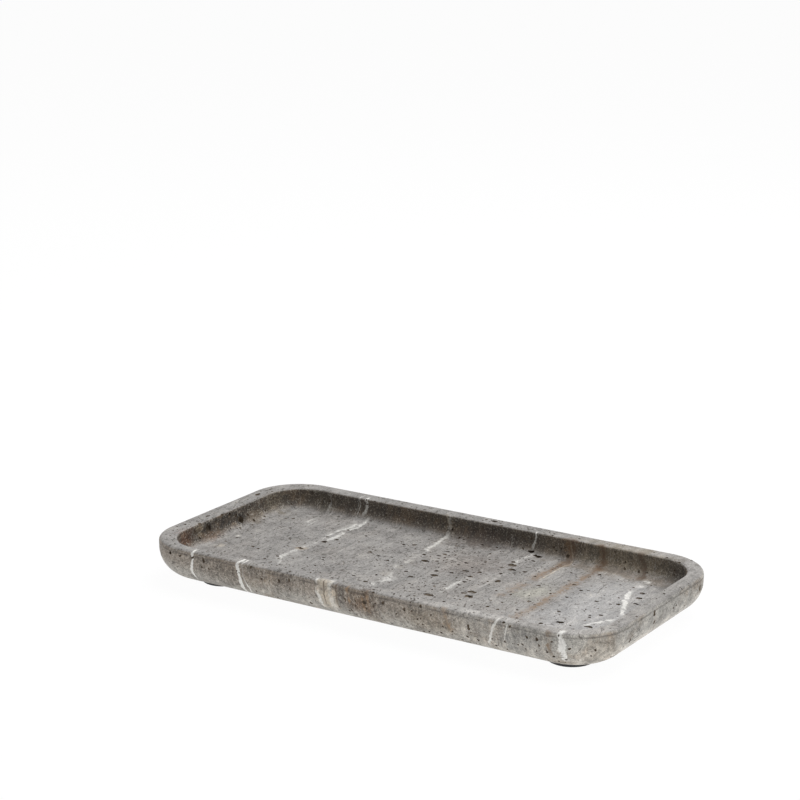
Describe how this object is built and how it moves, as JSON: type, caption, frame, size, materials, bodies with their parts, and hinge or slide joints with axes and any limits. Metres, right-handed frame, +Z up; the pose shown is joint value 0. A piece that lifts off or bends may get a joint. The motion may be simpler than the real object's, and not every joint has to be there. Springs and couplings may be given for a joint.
{
  "type": "gongfu tea tray",
  "caption": "Low rectangular stone tea tray with rounded corners, a shallow hollowed well, a deep rounding underneath and round rubber pads.",
  "frame": {"origin": "on the surface that the tray stands on, under the middle of the stone block", "axes": "+X along the tray to its right end, +Y across it to the back, +Z up; the pictured side is -Y"},
  "size_m": [0.3, 0.147, 0.0255],
  "materials": {
    "stone": "honed grey-brown stone with open pits, pale veins and rusty bands",
    "rubber": "moulded, satin black",
    "adhesive": "matt adhesive foam"
  },
  "bodies": {
    "root": {"tray_body": "stone", "foot_front_left": "rubber", "foot_front_right": "rubber", "foot_rear_left": "rubber", "foot_rear_right": "rubber", "foot_adhesive_front_left": "adhesive", "foot_adhesive_front_right": "adhesive", "foot_adhesive_rear_left": "adhesive", "foot_adhesive_rear_right": "adhesive"}
  },
  "joints": []
}
